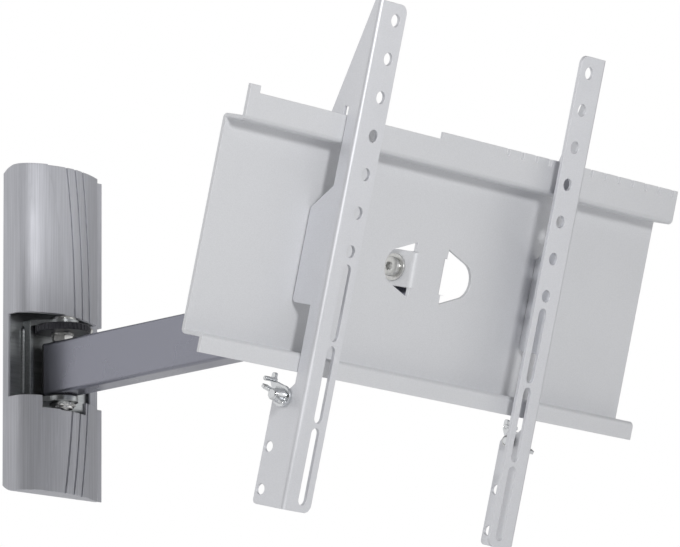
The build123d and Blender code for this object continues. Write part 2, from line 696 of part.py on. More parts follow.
def make_latch_knob():
    """Wing knob, a tapered hub with two flared wings."""
    centre = (-LATCH_N, LATCH_V)
    x0 = HOLE_X + FACE_GAP + LATCH_PLATE_T
    hub = Cone(KNOB_BASE_R, KNOB_TOP_R, KNOB_H)
    body = Rot(0, 90, 0) * hub
    for turn in (0, 180):
        outline = Polyline(*[(x, y, 0) for x, y in WING], close=True)
        wing = Pos(0, 0, -WING_T / 2) * extrude(make_face(outline), WING_T, dir=(0, 0, 1))
        tips = [edge for edge in wing.edges().filter_by(Axis.Z) if edge.center().Y > WING_TIP_Y]
        body += Rot(turn + WING_TURN, 0, 0) * fillet(tips, WING_EDGE)
    body = Pos(x0 + KNOB_H / 2, -LATCH_N, LATCH_V) * body
    return body - rod("x", centre, LATCH_PIN_R, x0 - PAST, x0 + KNOB_H + PAST)


def make_latch_nut():
    """Lock nut on the screw's inner end."""
    centre = (-LATCH_N, LATCH_V)
    x1 = HOLE_X - SHEET - FACE_GAP
    x0 = x1 - LATCH_NUT_H
    body = hexagon("x", centre, LATCH_NUT_FLATS, x0, x1)
    return body - rod("x", centre, LATCH_PIN_R, x0 - PAST, x1 + PAST)


def make_tilt_bolt():
    """Tilt bolt with a round socket head, its head on the left."""
    centre = (TILT_BACK, 0)
    head_x = -TAB_X - WASHER_T
    shank = rod("x", centre, TILT_PIN_R, head_x, TAB_X + WASHER_T + TILT_NUT_H + BOLT_END)
    body = chamfer(shank.edges().filter_by(GeomType.CIRCLE).sort_by(Axis.X)[-1], BOLT_CHAMFER)
    head_end = head_x - TILT_HEAD_H
    head = chamfer_ends(rod("x", centre, TILT_HEAD_R, head_end, head_x), TILT_HEAD_EDGE)
    key = extrude(RegularPolygon(TILT_SOCKET / 2, 6, major_radius=False), TILT_SOCKET_DEPTH + PAST)
    return body + head - Pos(head_end - PAST, TILT_BACK, 0) * Rot(0, 90, 0) * key


def washer_x(centre, outer, inner, x0, x1):
    """Flat washer on a level pivot."""
    return rod("x", centre, outer, x0, x1) - rod("x", centre, inner, x0 - PAST, x1 + PAST)


def save(name, solid):
    """Write one named piece."""
    solids = solid.solids()
    if len(solids) != 1:
        raise ValueError(f"{name} came out as {len(solids)} solids")
    solids[0].label = name
    export_step(solids[0], f"parts/{name}.step")


HEAD_FRAME = Pos(ARM_X, HEAD_AXIS_Y, 0) * Rot(0, 0, HEAD_YAW)
FACE_FRAME = HEAD_FRAME * Pos(0, -TILT_FWD, TILT_Z) * Rot(TILT, 0, 0) * Pos(0, -TILT_BACK, 0)
WALL_AXIS = (ARM_X, WALL_AXIS_Y)
HEAD_AXIS = (0, 0)
TILT_AXIS = (TILT_BACK, 0)

save("wall_plate", make_wall_plate())
save("wall_cover", make_cover())
save("pivot_bracket", make_pivot_bracket())
save("bearing_ring", make_bearing_ring())
save("ring_screw", make_ring_screw())
ring_nut_z1 = RING_Z0 - RING_WASHER_T
ring_nut_z0 = ring_nut_z1 - RING_NUT_H
save("ring_washer", washer_z(WALL_AXIS, RING_WASHER_R, PIN_R, ring_nut_z1, RING_Z0))
ring_nut = hexagon("z", WALL_AXIS, RING_NUT_FLATS, ring_nut_z0, ring_nut_z1)
save("ring_nut", ring_nut - rod("z", WALL_AXIS, PIN_R, ring_nut_z0 - PAST, ring_nut_z1 + PAST))
wall_bolt_end = BOTTOM_EAR_Z0 - WALL_NUT_H - WALL_BOLT_END
save("wall_bolt", make_pivot_bolt(WALL_AXIS, TOP_EAR_Z1, wall_bolt_end, WALL_HEAD_H))
wall_nut = hexagon("z", WALL_AXIS, NUT_FLATS, BOTTOM_EAR_Z0 - WALL_NUT_H, BOTTOM_EAR_Z0)
wall_nut -= rod("z", WALL_AXIS, PIN_R, BOTTOM_EAR_Z0 - WALL_NUT_H - PAST, BOTTOM_EAR_Z0 + PAST)
save("wall_lock_nut", wall_nut)
save("wall_glide", washer_z(WALL_AXIS, WALL_GLIDE_R, PIN_R, BOTTOM_EAR_Z1, ARM_Z0 - FACE_GAP))

save("arm_tube", make_arm())
save("arm_cap_wall", make_cap(WALL_AXIS_Y + ARM_TAIL, 1))
save("arm_cap_head", make_cap(HEAD_AXIS_Y - ARM_TAIL, -1))
save("arm_bush_wall", make_bush(WALL_AXIS_Y))
save("arm_bush_head", make_bush(HEAD_AXIS_Y))

yoke_top = ARM_Z1 + FACE_GAP + GLIDE_T + YOKE_T
yoke_bottom = BOTTOM_EAR_Z1 - YOKE_T
save("head_yoke", HEAD_FRAME * make_yoke())
head_bolt_end = yoke_bottom - HEAD_NUT_H - BOLT_END
save("head_bolt", HEAD_FRAME * make_pivot_bolt(HEAD_AXIS, yoke_top, head_bolt_end, HEAD_HEAD_H))
head_nut = hexagon("z", HEAD_AXIS, NUT_FLATS, yoke_bottom - HEAD_NUT_H, yoke_bottom)
head_nut -= rod("z", HEAD_AXIS, PIN_R, yoke_bottom - HEAD_NUT_H - PAST, yoke_bottom + PAST)
save("head_lock_nut", HEAD_FRAME * head_nut)
glide_r = ARM_W / 2 - GLIDE_INSET
top_glide = washer_z(HEAD_AXIS, glide_r, PIN_R, ARM_Z1 + FACE_GAP, ARM_Z1 + FACE_GAP + GLIDE_T)
save("head_glide_top", HEAD_FRAME * top_glide)
low_glide = washer_z(HEAD_AXIS, glide_r, PIN_R, BOTTOM_EAR_Z1, ARM_Z0 - FACE_GAP)
save("head_glide_bottom", HEAD_FRAME * low_glide)

save("face_panel", FACE_FRAME * make_face_panel())
save("tilt_bolt", FACE_FRAME * make_tilt_bolt())
left_washer = washer_x(TILT_AXIS, WASHER_R, TILT_PIN_R, -TAB_X - WASHER_T, -TAB_X)
save("tilt_washer_left", FACE_FRAME * left_washer)
right_washer = washer_x(TILT_AXIS, WASHER_R, TILT_PIN_R, TAB_X, TAB_X + WASHER_T)
save("tilt_washer_right", FACE_FRAME * right_washer)
tilt_nut = hexagon("x", TILT_AXIS, TILT_NUT_FLATS, TAB_X + WASHER_T, TAB_X + WASHER_T + TILT_NUT_H)
tilt_nut -= rod("x", TILT_AXIS, TILT_PIN_R, TAB_X, TAB_X + WASHER_T + TILT_NUT_H + PAST)
save("tilt_lock_nut", FACE_FRAME * tilt_nut)

BRACKET_PIECES = {
    "bracket": make_bracket(),
    "latch_hook": make_latch_hook(),
    "latch_screw": make_latch_screw(),
    "latch_knob": make_latch_knob(),
    "latch_nut": make_latch_nut(),
    "thumb_pin": make_thumb_pin(),
}
for piece, solid in BRACKET_PIECES.items():
    save(f"{piece}_right", FACE_FRAME * Pos(RIGHT_HOLE_X, 0, 0) * solid)
    mirrored = mirror(solid, about=Plane.YZ)
    save(f"{piece}_left", FACE_FRAME * Pos(LEFT_HOLE_X, 0, 0) * mirrored)
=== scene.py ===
"""Looks of the television wall mount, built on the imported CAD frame.

Every length is in metres in the CAD's own frame: the origin is the middle of the wall plate's back
face, the room is towards -Y, X runs to the right along the wall and Z is up. Sizes of fasteners are
given in millimetres, as on a drawing, and turned into metres by MM.

The CAD nodes keep their shape and get soft edges and their finishes here. The pivot bolts and lock
nuts are replaced by ones with sockets, threads and nylon inserts, the face panel is replaced by one
with tighter folds, and weld beads are added beside the wall pivot's channel.
"""

import json
import logging
import math
from dataclasses import dataclass, field
from enum import Enum

import bpy
from mathutils import Matrix, Vector

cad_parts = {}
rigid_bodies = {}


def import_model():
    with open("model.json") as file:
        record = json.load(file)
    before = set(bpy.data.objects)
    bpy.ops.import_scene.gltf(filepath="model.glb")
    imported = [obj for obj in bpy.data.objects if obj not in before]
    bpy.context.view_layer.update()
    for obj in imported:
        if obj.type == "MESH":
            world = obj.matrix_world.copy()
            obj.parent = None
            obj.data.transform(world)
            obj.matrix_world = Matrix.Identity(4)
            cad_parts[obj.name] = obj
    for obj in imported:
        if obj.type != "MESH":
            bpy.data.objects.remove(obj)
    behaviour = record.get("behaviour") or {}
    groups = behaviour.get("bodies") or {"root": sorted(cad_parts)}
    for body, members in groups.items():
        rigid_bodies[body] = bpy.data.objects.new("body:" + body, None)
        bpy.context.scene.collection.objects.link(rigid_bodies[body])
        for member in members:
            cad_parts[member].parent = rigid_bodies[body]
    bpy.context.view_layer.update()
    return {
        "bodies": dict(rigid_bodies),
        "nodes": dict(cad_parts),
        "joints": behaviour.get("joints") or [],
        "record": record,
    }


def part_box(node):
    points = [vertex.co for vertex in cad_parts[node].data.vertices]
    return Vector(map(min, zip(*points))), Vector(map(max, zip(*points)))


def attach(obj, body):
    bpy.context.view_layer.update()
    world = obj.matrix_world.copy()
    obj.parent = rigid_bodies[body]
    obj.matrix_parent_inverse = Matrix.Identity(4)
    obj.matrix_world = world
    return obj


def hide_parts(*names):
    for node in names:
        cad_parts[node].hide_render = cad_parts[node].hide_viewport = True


MM = 0.001
FULL_TURN = 2 * math.pi
SHARP_DEG = 34.0

# Noise detail, from the softest grain to the finest.
SOFT_DETAIL = 2.0
MIDDLE_DETAIL = 3.0
FINE_DETAIL = 4.0

# Edge wear and painted highlight: how far the normal turns at an edge, and the specks that break the
# mask up.
EDGE_TURN = (0.01, 0.22)
SPECK_SCALE = 420.0
SPECK_RANGE = (0.42, 0.6)

# Heights and ranges of the fine grains.
FLAKE_STEP = 0.18
LINE_RANGE = (0.3, 0.7)
GRAIN_SHARE = 0.4
TARNISH_SCALE = 700.0
TARNISH_RANGE = (0.35, 0.7)
PATCH_RANGE = (0.3, 0.7)

# Threads: steps to a turn, depth as a share of the pitch, and how flat the crests are.
THREAD_STEPS = 8
THREAD_DEPTH = 0.55
THREAD_FLAT = 1.25
THREAD_FADE = 2.0

# Bolts: tip, run-out and clearance of the thread's core, in millimetres.
TIP_CHAMFER = 0.5
TIP_BARE = 0.35
CORE_GAP = 0.02
RUN_OUT = 0.3

# Bolt heads: lower edge, upper edge as depth and inset, crown and dome as shares, and the socket's rim.
UNDER_EDGE = 0.3
TOP_EDGE = ((0.0, 0.7), (0.25, 0.25), (0.8, 0.0))
CROWN_SHARE = 0.12
DOME_RADIUS_SHARE = 0.7
DOME_DROP_SHARE = 0.3
SOCKET_RIM = 0.5
SOCKET_CHAMFER = 0.35
SOCKET_POINT = 0.4

# Lock nuts: radius beside the bore or the collar, and height above the collar's end.
NUT_MOUTH = (0.8, 0.25)
NUT_COLLAR = ((-0.9, 0.0), (-0.3, 0.12), (0.0, 0.5))
NUT_INSERT = ((-0.1, 1.4), (-0.1, 0.5), (0.15, 0.25), (0.9, 0.2), (1.1, 0.6), (1.1, 1.4))
NUT_THREAD_START = 1.2

# Lock nuts: collar, shoulder and bearing face as shares of half the flats, and the chamfers.
COLLAR_SHARE = 0.93
SHOULDER_SHARE = 0.985
FACE_SHARE = 0.94
NUT_LOW_CHAMFER = 0.5
NUT_HIGH_CHAMFER = 0.8
NUT_SLIVER = 0.05
BORE_CHAMFER = (0.25, 0.3)

logging.basicConfig(level=logging.INFO, format="%(message)s")
log = logging.getLogger("tv_mount")


class Slot(Enum):
    """Material slots of the record."""

    SILVER_PAINT = "silver_paint"
    BRACKET_PAINT = "bracket_paint"
    ARM_PAINT = "arm_paint"
    COVER_PLASTIC = "cover_plastic"
    ZINC_PLATE = "zinc_plate"
    BRIGHT_STEEL = "bright_steel"
    LATCH_CHROME = "latch_chrome"
    BLACK_STEEL = "black_steel"
    BLACK_NYLON = "black_nylon"


class Texture(Enum):
    """How a surface was made, which decides its fine grain."""

    METAL_FLAKE = "metal flake"
    BRUSHED = "brushed"
    MOULDED = "moulded"
    TURNED = "turned"


def srgb(red: float, green: float, blue: float) -> tuple[float, float, float]:
    """Turn a colour of 0 to 255 as seen on a screen into the shader's linear values.

    Args:
        red: Red from 0 to 255.
        green: Green from 0 to 255.
        blue: Blue from 0 to 255.

    Returns:
        The three linear values from 0 to 1.
    """
    shares = (red / 255, green / 255, blue / 255)
    return tuple(s / 12.92 if s <= 0.04045 else ((s + 0.055) / 1.055) ** 2.4 for s in shares)


@dataclass
class Wiring:
    """Adds and links nodes in one node tree."""

    tree: bpy.types.NodeTree

    def node(self, kind: str, **settings) -> bpy.types.Node:
        """Add a node.

        Args:
            kind: The node's Blender type.
            settings: Values for its own attributes.

        Returns:
            The new node.
        """
        made = self.tree.nodes.new(kind)
        for name, value in settings.items():
            setattr(made, name, value)
        return made

    def put(self, socket: bpy.types.NodeSocket, value: object) -> None:
        """Feed a socket from another socket or with a constant."""
        if isinstance(value, bpy.types.NodeSocket):
            self.tree.links.new(value, socket)
        else:
            socket.default_value = value

    def maths(self, operation: str, *terms: object, clamp: bool = False) -> bpy.types.NodeSocket:
        """Add a Math node.

        Args:
            operation: The node's operation.
            terms: Sockets or numbers, in order.
            clamp: Whether the result is kept within 0 and 1.

        Returns:
            Its output.
        """
        made = self.node("ShaderNodeMath", operation=operation, use_clamp=clamp)
        for socket, term in zip(made.inputs, terms):
            self.put(socket, term)
        return made.outputs[0]

    def dot(self, one: object, other: object) -> bpy.types.NodeSocket:
        """Dot product of two vectors."""
        made = self.node("ShaderNodeVectorMath", operation="DOT_PRODUCT")
        self.put(made.inputs[0], one)
        self.put(made.inputs[1], other)
        return made.outputs["Value"]

    def ramp(self, value: object, low: float, high: float) -> bpy.types.NodeSocket:
        """Smooth ramp of a value, from 0 to 1.

        Args:
            value: Socket or number that is mapped.
            low: Value that gives 0, like all below it.
            high: Value that gives 1, like all above it.

        Returns:
            The mapped value's output.
        """
        made = self.node("ShaderNodeMapRange", interpolation_type="SMOOTHSTEP")
        for name, term in (("Value", value), ("From Min", low), ("From Max", high)):
            self.put(made.inputs[name], term)
        return made.outputs["Result"]

    def mix(self, share: object, one: object, other: object) -> bpy.types.NodeSocket:
        """Mix two colours by a share."""
        made = self.node("ShaderNodeMix", data_type="RGBA")
        self.put(made.inputs["Factor"], share)
        self.put(made.inputs[6], one)
        self.put(made.inputs[7], other)
        return made.outputs[2]


class SurfaceGroup:
    """A shader node group that several finishes share, with named inputs and outputs."""

    def __init__(self, name: str, inputs: dict[str, float], outputs: tuple[str, ...]) -> None:
        """Make the group's tree and its sockets.

        Args:
            name: The group's name.
            inputs: Each input's name and default.
            outputs: Names of the outputs, all of them numbers.
        """
        self.tree = bpy.data.node_groups.new(name, "ShaderNodeTree")
        for label, default in inputs.items():
            made = self.tree.interface.new_socket(
                name=label, in_out="INPUT", socket_type="NodeSocketFloat"
            )
            made.default_value = default
        for label in outputs:
            self.tree.interface.new_socket(
                name=label, in_out="OUTPUT", socket_type="NodeSocketFloat"
            )
        self.wiring = Wiring(self.tree)
        self.inlet = self.wiring.node("NodeGroupInput")
        self.outlet = self.wiring.node("NodeGroupOutput")
        self.place = self.wiring.node("ShaderNodeTexCoord").outputs["Object"]

    def given(self, name: str) -> bpy.types.NodeSocket:
        """The group's own input of that name."""
        return self.inlet.outputs[name]

    def result(self, name: str, value: bpy.types.NodeSocket) -> None:
        """Feed the group's output of that name."""
        self.wiring.put(self.outlet.inputs[name], value)

    def noise(self, scale: object, detail: float, vector: object = None) -> bpy.types.NodeSocket:
        """Noise on the piece's own coordinates.

        Args:
            scale: Grains to a metre.
            detail: Noise detail.
            vector: Other coordinates to use.

        Returns:
            The noise value.
        """
        made = self.wiring.node("ShaderNodeTexNoise")
        self.wiring.put(made.inputs["Vector"], vector or self.place)
        self.wiring.put(made.inputs["Scale"], scale)
        made.inputs["Detail"].default_value = detail
        return made.outputs["Fac"]


class SurfaceGroups:
    """The node groups of this object's finishes, each built once."""

    def __init__(self) -> None:
        """Build every group."""
        self.edge_wear_and_highlight = self._edge_wear_and_highlight()
        self.metal_flake = self._metal_flake()
        self.brushing = self._brushing()
        self.mould_grain = self._mould_grain()
        self.turning = self._turning()
        self.handling = self._handling()

    @staticmethod
    def _edge_wear_and_highlight() -> bpy.types.NodeTree:
        """Mask of rubbed finish along outside edges, which also lightens them as a painted highlight.
        """
        group = SurfaceGroup("Edge wear", {"Width": 0.0004, "Breakup": 0.5, "Amount": 0.5}, ("Mask",))
        wiring = group.wiring
        bevel = wiring.node("ShaderNodeBevel", samples=4)
        wiring.put(bevel.inputs["Radius"], group.given("Width"))
        true_normal = wiring.node("ShaderNodeNewGeometry").outputs["True Normal"]
        turned = wiring.maths("SUBTRACT", 1.0, wiring.dot(bevel.outputs["Normal"], true_normal))
        edge = wiring.ramp(turned, *EDGE_TURN)
        specks = wiring.ramp(group.noise(SPECK_SCALE, MIDDLE_DETAIL), *SPECK_RANGE)
        kept = wiring.maths("SUBTRACT", 1.0, group.given("Breakup"))
        broken = wiring.maths("MULTIPLY_ADD", specks, group.given("Breakup"), kept)
        mask = wiring.maths("MULTIPLY", edge, broken)
        group.result("Mask", wiring.maths("MULTIPLY", mask, group.given("Amount"), clamp=True))
        return group.tree

    @staticmethod
    def _metal_flake() -> bpy.types.NodeTree:
        """Sparkle of the flakes in metallic paint, and the paint's slight waviness."""
        group = SurfaceGroup("Metal flake", {"Flakes": 2600.0, "Peel": 420.0}, ("Sparkle", "Height"))
        wiring = group.wiring
        cells = wiring.node("ShaderNodeTexVoronoi")
        wiring.put(cells.inputs["Vector"], group.place)
        wiring.put(cells.inputs["Scale"], group.given("Flakes"))
        parts = wiring.node("ShaderNodeSeparateColor")
        wiring.put(parts.inputs["Color"], cells.outputs["Color"])
        group.result("Sparkle", parts.outputs["Red"])
        peel = group.noise(group.given("Peel"), SOFT_DETAIL)
        flake_step = wiring.maths("MULTIPLY", parts.outputs["Green"], FLAKE_STEP)
        group.result("Height", wiring.maths("ADD", peel, flake_step))
        return group.tree

    @staticmethod
    def _brushing() -> bpy.types.NodeTree:
        """Fine lines left by brushing or rolling, drawn out along one direction."""
        inputs = {"Lines": 1800.0, "Along X": 1.0, "Along Y": 1.0, "Along Z": 0.03}
        group = SurfaceGroup("Brushing", inputs, ("Line", "Height"))
        wiring = group.wiring
        stretch = wiring.node("ShaderNodeCombineXYZ")
        for axis in "XYZ":
            wiring.put(stretch.inputs[axis], group.given(f"Along {axis}"))
        drawn = wiring.node("ShaderNodeVectorMath", operation="MULTIPLY")
        wiring.put(drawn.inputs[0], group.place)
        wiring.put(drawn.inputs[1], stretch.outputs[0])
        lines = group.noise(group.given("Lines"), FINE_DETAIL, drawn.outputs[0])
        group.result("Line", wiring.ramp(lines, *LINE_RANGE))
        group.result("Height", lines)
        return group.tree

    @staticmethod
    def _mould_grain() -> bpy.types.NodeTree:
        """Spark-eroded grain of a moulded part."""
        group = SurfaceGroup("Mould grain", {"Grain": 1500.0}, ("Mottle", "Height"))
        wiring = group.wiring
        cells = wiring.node("ShaderNodeTexVoronoi", feature="SMOOTH_F1")
        wiring.put(cells.inputs["Vector"], group.place)
        wiring.put(cells.inputs["Scale"], group.given("Grain"))
        rough = group.noise(group.given("Grain"), MIDDLE_DETAIL)
        group.result("Mottle", rough)
        height = wiring.maths("MULTIPLY_ADD", rough, GRAIN_SHARE, cells.outputs["Distance"])
        group.result("Height", height)
        return group.tree

    @staticmethod
    def _turning() -> bpy.types.NodeTree:
        """Faint tool marks and tarnish of small turned and plated fasteners."""
        group = SurfaceGroup("Turning marks", {"Marks": 3200.0}, ("Tarnish", "Height"))
        dull = group.noise(TARNISH_SCALE, FINE_DETAIL)
        group.result("Tarnish", group.wiring.ramp(dull, *TARNISH_RANGE))
        group.result("Height", group.noise(group.given("Marks"), SOFT_DETAIL))
        return group.tree

    @staticmethod
    def _handling() -> bpy.types.NodeTree:
        """Large soft patches where hands and packing changed the gloss."""
        group = SurfaceGroup("Handling", {"Patches": 16.0}, ("Patch",))
        soft = group.noise(group.given("Patches"), MIDDLE_DETAIL)
        group.result("Patch", group.wiring.ramp(soft, *PATCH_RANGE))
        return group.tree


@dataclass(frozen=True)
class Finish:
    """One finish: its colour, gloss, fine grain, and edges lightened partly by wear and partly by a
    painted highlight.
    """

    slot: Slot
    texture: Texture
    colour: tuple[float, float, float]
    metallic: float
    roughness: float
    grain: float
    shade_spread: float
    bump_mm: float
    patch_spread: float = 0.06
    # Colour that the edges are lightened towards: partly rubbed finish, partly a painted highlight.
    edge_colour: tuple[float, float, float] = (0.8, 0.8, 0.82)
    edge_amount: float = 0.3
    edge_width_mm: float = 0.4
    drawn_along: tuple[float, float, float] = (1.0, 1.0, 0.03)

    def build(self, groups: SurfaceGroups) -> bpy.types.Material:
        """Make the material.

        Args:
            groups: The shared node groups.

        Returns:
            The finished material.
        """
        material = bpy.data.materials.new(self.slot.value)
        material.use_nodes = True
        material.node_tree.nodes.clear()
        wiring = Wiring(material.node_tree)
        shader = wiring.node("ShaderNodeBsdfPrincipled")
        output = wiring.node("ShaderNodeOutputMaterial")
        wiring.put(output.inputs["Surface"], shader.outputs[0])
        shade, height = self._grain(wiring, groups)
        handling = wiring.node("ShaderNodeGroup", node_tree=groups.handling)
        patch = handling.outputs["Patch"]
        wear_and_highlight = wiring.node("ShaderNodeGroup", node_tree=groups.edge_wear_and_highlight)
        wear_and_highlight.inputs["Width"].default_value = self.edge_width_mm * MM
        wear_and_highlight.inputs["Amount"].default_value = self.edge_amount
        dark = tuple(c * (1 - self.shade_spread) for c in self.colour) + (1.0,)
        pale = tuple(min(1.0, c * (1 + self.shade_spread)) for c in self.colour) + (1.0,)
        painted = wiring.mix(shade, dark, pale)
        # Lighten the edges: partly wear, partly a painted highlight along them.
        worn_and_highlit = wiring.mix(wear_and_highlight.outputs["Mask"], painted, self.edge_colour + (1.0,))
        wiring.put(shader.inputs["Base Color"], worn_and_highlit)
        shader.inputs["Metallic"].default_value = self.metallic
        low = self.roughness - self.patch_spread
        gloss = wiring.maths("MULTIPLY_ADD", patch, 2 * self.patch_spread, low)
        wiring.put(shader.inputs["Roughness"], gloss)
        bump = wiring.node("ShaderNodeBump")
        bump.inputs["Distance"].default_value = self.bump_mm * MM
        bump.inputs["Strength"].default_value = 1.0
        wiring.put(bump.inputs["Height"], height)
        wiring.put(shader.inputs["Normal"], bump.outputs["Normal"])
        return material

    def _grain(self, wiring: Wiring, groups: SurfaceGroups) -> tuple:
        """Shade and height of the finish's fine grain.

        Args:
            wiring: The material's wiring.
            groups: The shared node groups.

        Returns:
            The shade's and the height's outputs.
        """
        trees = {
            Texture.METAL_FLAKE: (groups.metal_flake, "Flakes", "Sparkle"),
            Texture.BRUSHED: (groups.brushing, "Lines", "Line"),
            Texture.MOULDED: (groups.mould_grain, "Grain", "Mottle"),
            Texture.TURNED: (groups.turning, "Marks", "Tarnish"),
        }
        tree, size_name, shade_name = trees[self.texture]
        made = wiring.node("ShaderNodeGroup", node_tree=tree)
        made.inputs[size_name].default_value = self.grain
        if self.texture is Texture.BRUSHED:
            for axis, share in zip("XYZ", self.drawn_along):
                made.inputs[f"Along {axis}"].default_value = share
        return made.outputs[shade_name], made.outputs["Height"]


FINISHES = (
    Finish(
        Slot.SILVER_PAINT, Texture.METAL_FLAKE, srgb(219, 220, 223), 0.25, 0.5,
        grain=2600.0, shade_spread=0.035, bump_mm=0.004,
    ),
    Finish(
        Slot.BRACKET_PAINT, Texture.METAL_FLAKE, srgb(221, 222, 226), 0.4, 0.4,
        grain=2600.0, shade_spread=0.035, bump_mm=0.004,
    ),
    Finish(
        Slot.ARM_PAINT, Texture.METAL_FLAKE, srgb(152, 153, 164), 0.85, 0.3,
        grain=2600.0, shade_spread=0.06, bump_mm=0.005, edge_colour=srgb(190, 191, 198),
    ),
    Finish(
        Slot.COVER_PLASTIC, Texture.BRUSHED, srgb(196, 197, 203), 0.4, 0.55,
        grain=1500.0, shade_spread=0.09, bump_mm=0.01, drawn_along=(1.0, 1.0, 0.012),
        edge_amount=0.15,
    ),
    Finish(
        Slot.ZINC_PLATE, Texture.BRUSHED, srgb(176, 179, 180), 1.0, 0.34,
        grain=700.0, shade_spread=0.1, bump_mm=0.01, drawn_along=(0.05, 1.0, 1.0),
    ),
    Finish(
        Slot.BRIGHT_STEEL, Texture.TURNED, srgb(214, 214, 212), 1.0, 0.24,
        grain=3200.0, shade_spread=0.07, bump_mm=0.006,
    ),
    Finish(
        Slot.LATCH_CHROME, Texture.TURNED, srgb(226, 228, 230), 1.0, 0.12,
        grain=2000.0, shade_spread=0.03, bump_mm=0.003, patch_spread=0.04,
    ),
    Finish(
        Slot.BLACK_STEEL, Texture.METAL_FLAKE, srgb(52, 52, 58), 0.4, 0.36,
        grain=3000.0, shade_spread=0.12, bump_mm=0.005, edge_colour=srgb(130, 130, 134),
    ),
    Finish(
        Slot.BLACK_NYLON, Texture.MOULDED, srgb(44, 44, 48), 0.0, 0.5,
        grain=1500.0, shade_spread=0.15, bump_mm=0.02, edge_colour=srgb(86, 86, 90),
    ),
)


class Palette:
    """The finished materials, by slot."""

    def __init__(self) -> None:
        """Build the groups and every finish."""
        groups = SurfaceGroups()
        self.materials = {finish.slot: finish.build(groups) for finish in FINISHES}

    def dress(self, piece: bpy.types.Object, slot: Slot) -> None:
        """Give a piece one finish all over."""
        piece.data.materials.clear()
        piece.data.materials.append(self.materials[slot])


@dataclass(frozen=True)
class SoftEdges:
    """Small bevel on the outside edges of a CAD node."""

    width_mm: float = 0.3
    segments: int = 2
    sharper_than: float = SHARP_DEG
    flat_within: float = 0.4
    weld: float = 2e-6
    normal_weight: int = 80

    def add(self, piece: bpy.types.Object) -> None:
        """Add the modifiers, with the flats joined first so that the bevel meets no inner edge."""
        mesh = piece.data
        if "custom_normal" in mesh.attributes:
            mesh.attributes.remove(mesh.attributes["custom_normal"])
        mesh.shade_smooth()
        seams = piece.modifiers.new("Seams", "WELD")
        seams.merge_threshold = self.weld
        flats = piece.modifiers.new("Flats", "DECIMATE")
        flats.decimate_type = "DISSOLVE"
        flats.angle_limit = math.radians(self.flat_within)
        bevel = piece.modifiers.new("Soft edges", "BEVEL")
        bevel.limit_method = "ANGLE"
        bevel.angle_limit = math.radians(self.sharper_than)
        bevel.width = self.width_mm * MM
        bevel.segments = self.segments
        bevel.use_clamp_overlap = False
        normals = piece.modifiers.new("Face normals", "WEIGHTED_NORMAL")
        normals.mode = "FACE_AREA"
        normals.weight = self.normal_weight


@dataclass(frozen=True)
class Ring:
    """One ring of a turned piece: a radius, or half the distance across flats, at a height."""

    radius: float
    height: float
    hexagonal: bool = False

    def at(self, angle: float) -> float:
        """Radius of the ring at an angle."""
        if not self.hexagonal:
            return self.radius
        sixth = math.pi / 3
        off = (angle + sixth / 2) % sixth - sixth / 2
        return self.radius / math.cos(off)


@dataclass(frozen=True)
class Axis:
    """A fastener's axis in the row frame: a point, the direction of its head, and how it lies."""

    point: Vector
    towards: Vector

    def matrix(self) -> Matrix:
        """Placement whose Z is the axis and whose origin is the point."""
        turn = Vector((0, 0, 1)).rotation_difference(self.towards.normalized())
        return Matrix.Translation(self.point) @ turn.to_matrix().to_4x4()

    def span(self, node: bpy.types.Object) -> tuple[float, float]:
        """Lowest and highest place of a node along the axis, in millimetres."""
        direction = self.towards.normalized()
        along = [(v.co - self.point).dot(direction) for v in node.data.vertices]
        return min(along) / MM, max(along) / MM


